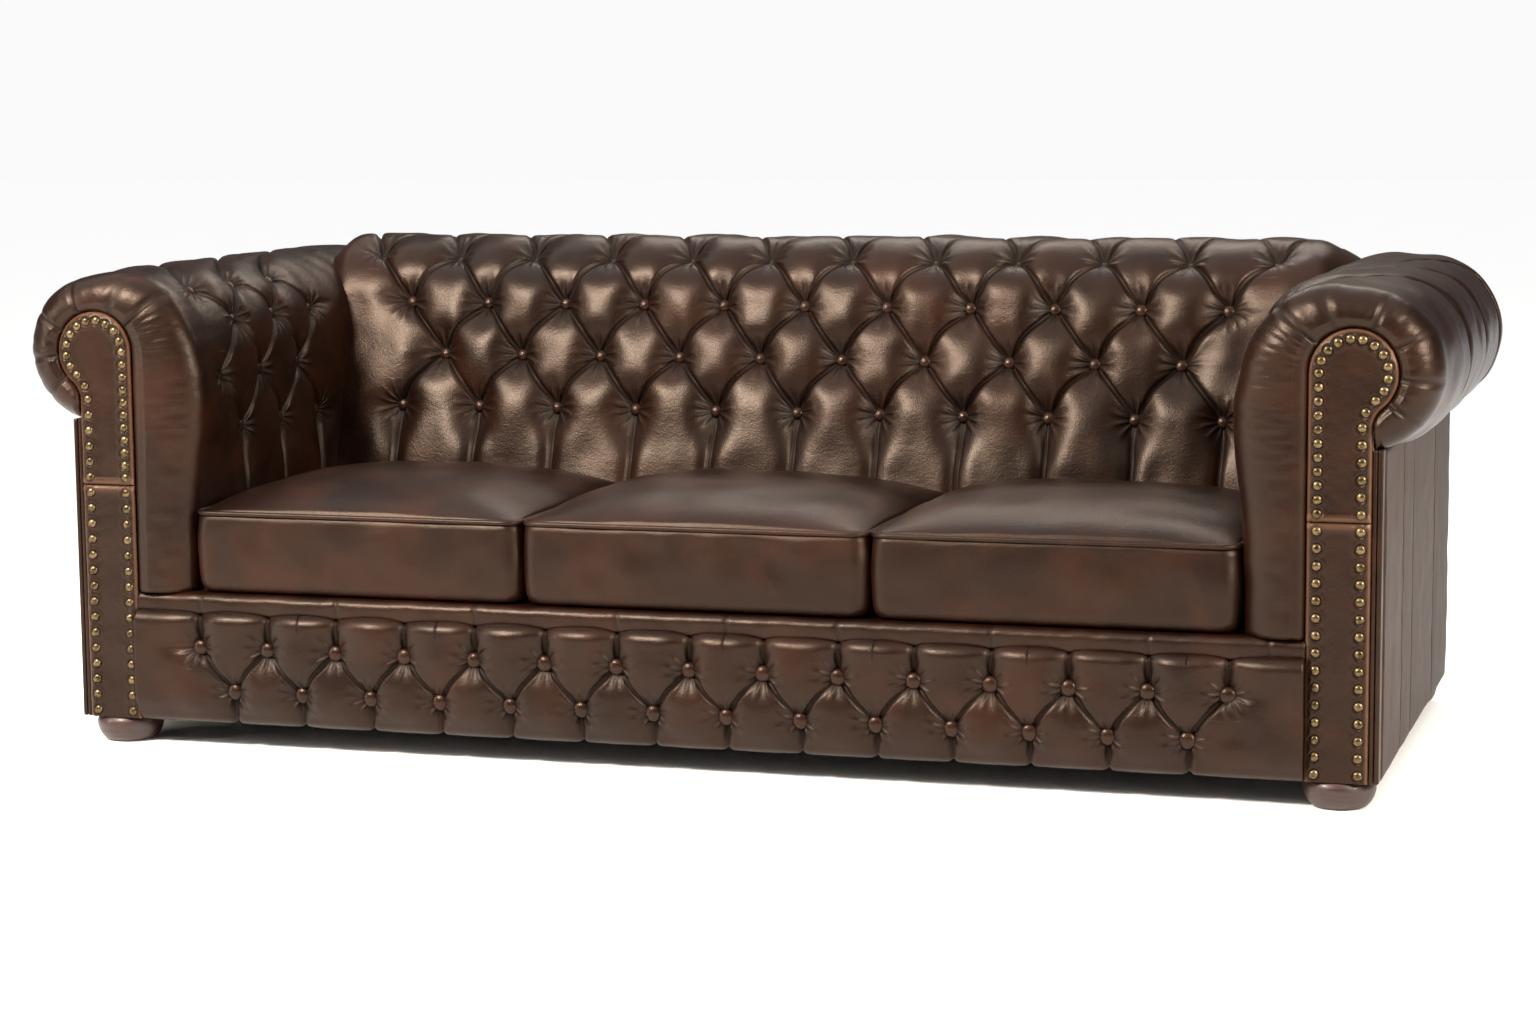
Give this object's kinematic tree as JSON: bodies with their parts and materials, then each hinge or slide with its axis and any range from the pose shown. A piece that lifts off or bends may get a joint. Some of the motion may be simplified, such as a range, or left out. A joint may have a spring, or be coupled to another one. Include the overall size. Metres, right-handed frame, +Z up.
{
  "type": "sofa",
  "caption": "Chesterfield sofa with rolled arms, deep-buttoned leather back, arms and front rail, loose seat cushions, nailed scroll facings and bun feet.",
  "frame": {"origin": "on the floor, under the middle of the sofa's bounding box", "axes": "+X to the right of someone looking at the front, +Y to the back, +Z up"},
  "size_m": [2.18, 0.936, 0.752],
  "materials": {
    "hide_leather": "antique brown hide, semi-gloss, rubbed reddish brown with darker creases",
    "cushion_leather": "antique brown hide, softer gloss",
    "button_leather": "hide-covered button",
    "nail_brass": "antique brass dome heads",
    "turned_wood": "dark reddish varnish",
    "frame_hardwood": "planed beech",
    "plywood": "birch plywood",
    "foam": "cut foam",
    "jute_webbing": "woven jute",
    "deck_cloth": "padded platform cloth",
    "dust_cloth": "black non-woven cloth",
    "zinc_steel": "zinc plated"
  },
  "bodies": {
    "sofa_body": {"arm_board_left": "plywood", "arm_board_right": "plywood", "arm_pad_left": "hide_leather", "arm_pad_right": "hide_leather", "arm_rear_post_left": "frame_hardwood", "arm_rear_post_right": "frame_hardwood", "arm_top_rail_left": "frame_hardwood", "arm_top_rail_right": "frame_hardwood", "back_board": "plywood", "back_pad": "hide_leather", "back_ribs": "plywood", "back_tack_rail": "frame_hardwood", "back_top_rail": "frame_hardwood", "buttons_arm_left": "button_leather", "buttons_arm_right": "button_leather", "buttons_back": "button_leather", "buttons_rail": "button_leather", "corner_blocks": "frame_hardwood", "dust_cover": "dust_cloth", "edge_strip_left": "hide_leather", "edge_strip_right": "hide_leather", "facing_lower_left": "hide_leather", "facing_lower_right": "hide_leather", "facing_nails_left": "nail_brass", "facing_nails_right": "nail_brass", "facing_upper_left": "hide_leather", "facing_upper_right": "hide_leather", "foot_blocks": "frame_hardwood", "foot_bolts": "zinc_steel", "foot_front_left": "turned_wood", "foot_front_right": "turned_wood", "foot_rear_left": "turned_wood", "foot_rear_right": "turned_wood", "front_rail": "frame_hardwood", "outside_arm_left": "hide_leather", "outside_arm_right": "hide_leather", "outside_back": "hide_leather", "rail_pad": "hide_leather", "rear_seat_rail": "frame_hardwood", "scroll_board_left": "plywood", "scroll_board_right": "plywood", "seat_band": "hide_leather", "seat_deck": "deck_cloth", "seat_stretchers": "frame_hardwood", "side_rail_left": "frame_hardwood", "side_rail_right": "frame_hardwood", "webbing_cross": "jute_webbing", "webbing_long": "jute_webbing"},
    "cushion_left": {"cushion_cover_left": "cushion_leather", "cushion_core_left": "foam"},
    "cushion_middle": {"cushion_cover_middle": "cushion_leather", "cushion_core_middle": "foam"},
    "cushion_right": {"cushion_cover_right": "cushion_leather", "cushion_core_right": "foam"}
  },
  "joints": [
    {"name": "cushion_left_draw_out", "type": "slide", "parent": "sofa_body", "child": "cushion_left", "axis": [0, -1, 0], "range_m": [0, 0.56]},
    {"name": "cushion_middle_draw_out", "type": "slide", "parent": "sofa_body", "child": "cushion_middle", "axis": [0, -1, 0], "range_m": [0, 0.56]},
    {"name": "cushion_right_draw_out", "type": "slide", "parent": "sofa_body", "child": "cushion_right", "axis": [0, -1, 0], "range_m": [0, 0.56]}
  ]
}
